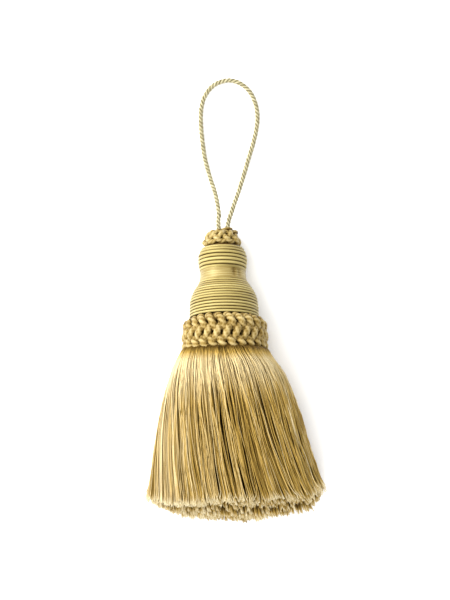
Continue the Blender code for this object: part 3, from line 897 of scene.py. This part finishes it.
def threadLines(bundle, chance):
    # each thread's line from inside the collar to below the cut, and whether it is a stray
    rings = skirt["inCollar"]
    knots = np.array([row["run"] for row in (*rings, *skirt["sections"])])
    lockSize = 1 / math.sqrt(skirt["locks"])
    wanders = {
        kind: chance.normal(0, lockSize * skirt["wander"][kind], (skirt[kind + "s"], len(knots), 2))
        for kind in ("lock", "strand", "thread")
    }
    strays, fan = skirt["strays"], skirt["fan"]
    stray = np.zeros(skirt["threads"], bool)
    outer = np.flatnonzero(bundle["depth"] > strays["depth"])
    stray[chance.choice(outer, strays["number"], replace=False)] = True
    slant = chance.normal(0, strays["slant"], skirt["threads"])
    points = []
    for k, row in enumerate(skirt["gathered"]):
        wander = (
            wanders["lock"][bundle["lock"], k] + wanders["strand"][bundle["strand"], k]
            + wanders["thread"][:, k]
        )
        place = (
            bundle["lockMiddle"] + bundle["fromLock"] * row["lock"]
            + bundle["fromStrand"] * (1 - (1 - row["strand"]) * bundle["looseAndShaded"][:, None])
            + wander * bundle["calm"] * row["free"]
        )
        depth = np.where(stray, 1.0, np.minimum(np.linalg.norm(place, axis=1), 1.0))
        share = np.arctan2(place[:, 0], place[:, 1]) / (2 * np.pi)
        share = share + np.where(stray, slant * (row["free"] - strays["cross"]), 0.0)
        fanned = fan["more"] * np.exp(-((share - fan["at"]) / fan["wide"]) ** 2)
        share = share + (skirt["twist"] + fanned) * max(knots[k], 0) / knots[-1]
        points.append(skirtPoints(k, share, depth * (skirt["reach"] if k >= len(rings) else 1.0)))
    fine = np.linspace(knots[0], knots[-1], skirt["linePoints"])
    return smoothThrough(np.stack(points, 1), knots, fine), stray


def threadLengths(bundle, lines, chance):
    foot = skirt["sections"][-1]
    across = lines[:, -1, 0] - rim[0]
    aside = across / np.where(across < 0, foot["left"], foot["right"])
    lengths = skirt["length"] + readTable(skirt["longerAcross"], aside)
    # 0.99 keeps the skirt's edges from having no height at all
    above = (foot["top"] - foot["wide"]) * np.sqrt(1 - np.minimum(aside, 1) ** 2 * 0.99)
    level = lines[:, -1, 2] / (foot["wide"] + above)
    least = skirt["layerLeast"]
    lengths += readTable(skirt["longerUp"], level) * (least + (1 - least) * above / above.max())
    ragged = bundle["ragged"]
    lengths += chance.normal(0, skirt["lockSpread"], skirt["locks"])[bundle["lock"]]
    lengths += chance.normal(0, skirt["strandSpread"], skirt["strands"])[bundle["strand"]] * ragged
    lengths += chance.normal(0, skirt["threadSpread"], skirt["threads"]) * ragged
    return lengths


def threadTones(bundle, stray, chance):
    # each thread's own tone, and the painted shade on it at its strand's side
    spread, shade, looseAndShaded = skirt["toneSpread"], skirt["strandShade"], bundle["looseAndShaded"]
    tone = skirt["meanTone"] + chance.normal(0, spread["lock"], skirt["locks"])[bundle["lock"]]
    # the right side has more light and dark strands among the others
    rightward = np.clip(bundle["place"][:, 0], 0, 1)
    strands = chance.normal(0, spread["strand"], skirt["strands"])[bundle["strand"]]
    tone += strands * bundle["ragged"] * (1 + rightward)
    tone += chance.normal(0, spread["thread"], skirt["threads"])
    tone += np.where(stray, skirt["strayTone"], 0.0)
    # painted light on the left side and painted shade on the right, as the light falls from the
    # left
    tone += skirt["leftPaintedLight"] * (1 - looseAndShaded) - skirt["rightPaintedShade"] * rightward
    offCrest = np.linalg.norm(bundle["fromStrand"], axis=1) * math.sqrt(skirt["strands"])
    sides = shade["depth"] * (np.minimum(offCrest, shade["most"]) ** 2 - shade["crest"])
    return tone, np.where(stray, 0.0, sides) * looseAndShaded


def cutThreads(lines, lengths, rings):
    # the lines cut to their lengths, with points at the given shares of them
    steps = np.linalg.norm(np.diff(lines, axis=1), axis=-1)
    travelled = np.concatenate([np.zeros((len(lines), 1)), np.cumsum(steps, 1)], 1)
    made = np.empty((len(lines), len(rings), 3))
    for i, (line, way, length) in enumerate(zip(lines, travelled, lengths)):
        at = rings * length
        for k in range(3):
            made[i, :, k] = np.interp(at, way, line[:, k])
    return made


def slowWaves(count, rings, wave, chance):
    # a soft sideways waviness along each strand or thread
    waves = 1 / chance.uniform(*wave["lengths"], (2, count, 1))
    start = chance.uniform(0, 2 * np.pi, (2, count, 1))
    size = wave["reach"] * chance.normal(0, 1, (2, count, 1))
    run = rings * skirt["length"]
    free = readTable(skirt["waveFree"], rings)
    across, up = size * np.sin(2 * np.pi * waves * run + start) * free
    return np.stack([across, np.zeros_like(across), up * skirt["waveLift"]], -1)


def openTufts(paths, strand, rings):
    # threads move away from their strand's middle at the cut
    members = np.maximum(np.bincount(strand, minlength=skirt["strands"]), 1)
    middle = np.zeros((skirt["strands"], *paths.shape[1:]))
    np.add.at(middle, strand, paths)
    middle /= members[:, None, None]
    opened = skirt["tuft"] * readTable(skirt["opening"], rings)
    return paths + (paths - middle[strand]) * opened[:, None] * (1, 0, 1)


def makeSkirt():
    chance = np.random.default_rng(skirt["seed"])
    bundle = gatherThreads(chance)
    lines, stray = threadLines(bundle, chance)
    lengths = threadLengths(bundle, lines, chance)
    tone, sides = threadTones(bundle, stray, chance)
    finish = silkMaterial("cutSilkYarn", skirt["look"])
    outer = bundle["depth"] > skirt["outerDepth"]
    x, _, z = lines[:, skirt["middlePoint"]].T
    upper = z > np.quantile(z[outer], skirt["lowerShare"])
    rightSide = x > np.quantile(x[outer & upper], 0.5)
    pieces = {
        "skirtLeftThreads": (outer & upper & ~rightSide, skirt["rings"]),
        "skirtRightThreads": (outer & upper & rightSide, skirt["rings"]),
        "skirtLowerThreads": (outer & ~upper, skirt["rings"]),
        "skirtInnerThreads": (~outer, skirt["innerRings"]),
    }
    for name, (chosen, shares) in pieces.items():
        rings = np.array(shares)
        paths = cutThreads(lines[chosen], lengths[chosen], rings)
        strand = bundle["strand"][chosen]
        freely = bundle["calm"][chosen][:, None]
        paths += slowWaves(skirt["strands"], rings, skirt["strandWaves"], chance)[strand] * freely
        paths += slowWaves(len(paths), rings, skirt["threadWaves"], chance) * freely
        paths = openTufts(paths, strand, rings)
        thickness = skirt["thinnest"] + skirt["thicker"] * chance.random(len(paths))
        radius = skirt["threadRadius"] * thickness
        low = radius * skirt["clear"]["radii"] + chance.random(len(paths)) * skirt["clear"]["heap"]
        paths[..., 2] = np.maximum(paths[..., 2], low[:, None])
        outward = np.broadcast_to(np.array([0.2, 0.1, 1.0]), paths.shape)  # never along a thread
        sections = roundSection(np.repeat(radius[:, None], len(rings), 1), skirt["sides"])
        # painted shade on the threads further in and on the strands' sides, and painted light and
        # shade along each thread, added to each thread's own tone
        inShade = (skirt["inShade"]["from"] - bundle["depth"][chosen]) / skirt["inShade"]["over"]
        inward = np.clip(inShade, 0, 1) * bundle["looseAndShaded"][chosen]
        shaded = readTable(skirt["shaded"], rings) * inward[:, None]
        sided = readTable(skirt["sided"], rings) * sides[chosen][:, None]
        own = (tone[chosen][:, None] - skirt["tone"]) * readTable(skirt["uneven"], rings)
        tones = skirt["tone"] + own + readTable(skirt["paintedShadeAndLightAlong"], rings) - sided - shaded
        part = sweepTubes(paths, sections, outward, tones)
        addMesh(name, [part], finish, "skirt")


# Stage: a pale tabletop, soft light from the upper left and a bright room
stage = {
    "floor": "#FFFFFF",
    "floorRoughness": 0.9,
    "drop": 0.2,  # clear of what rests on it
    "metres": 6.0,
    "world": ("#FFFFFF", 0.64),
    # places and sizes in metres
    "lights": (
        {"name": "keyLight", "at": (-0.85, 0.5, 0.75), "size": 0.7, "watts": 17.5},
        {"name": "topLight", "at": (-0.1, 0.2, 1.4), "size": 0.9, "watts": 9.5},
        {"name": "frontLight", "at": (-0.2, -0.9, 0.5), "size": 0.5, "watts": 4.5},
    ),
}


def addStage():
    half = stage["metres"] / 2
    corners = [(-half, -half, 0), (half, -half, 0), (half, half, 0), (-half, half, 0)]
    mesh = bpy.data.meshes.new("tabletop")
    mesh.from_pydata(corners, [], [(0, 1, 2, 3)])
    made = bpy.data.objects.new("tabletop", mesh)
    made.location.z = -stage["drop"] * mm
    bpy.context.scene.collection.objects.link(made)
    # matte white laminate, plain and without a shine of its own
    paint = bpy.data.materials.new("matteLaminate")
    paint.use_nodes = True
    shader = paint.node_tree.nodes["Principled BSDF"]
    shader.inputs["Base Color"].default_value = hexColour(stage["floor"])
    shader.inputs["Roughness"].default_value = stage["floorRoughness"]
    mesh.materials.append(paint)
    for row in stage["lights"]:
        data = bpy.data.lights.new(row["name"], "AREA")
        data.size = row["size"]
        data.energy = row["watts"]
        lamp = bpy.data.objects.new(row["name"], data)
        lamp.location = row["at"]
        lamp.rotation_euler = (-Vector(row["at"])).to_track_quat("-Z", "Y").to_euler()
        bpy.context.scene.collection.objects.link(lamp)
    colour, strength = stage["world"]
    world = bpy.data.worlds.new("softRoom")
    world.use_nodes = True
    background = world.node_tree.nodes["Background"]
    background.inputs["Color"].default_value = hexColour(colour)
    background.inputs["Strength"].default_value = strength
    bpy.context.scene.world = world
    view = bpy.context.scene.view_settings
    view.view_transform = "Standard"
    view.look = "Medium High Contrast"


addCamera()
makeLoop()
makeWindings()
makeWaist()
makeCollar()
makeKnot()
makeSkirt()
addStage()
print("scene built")
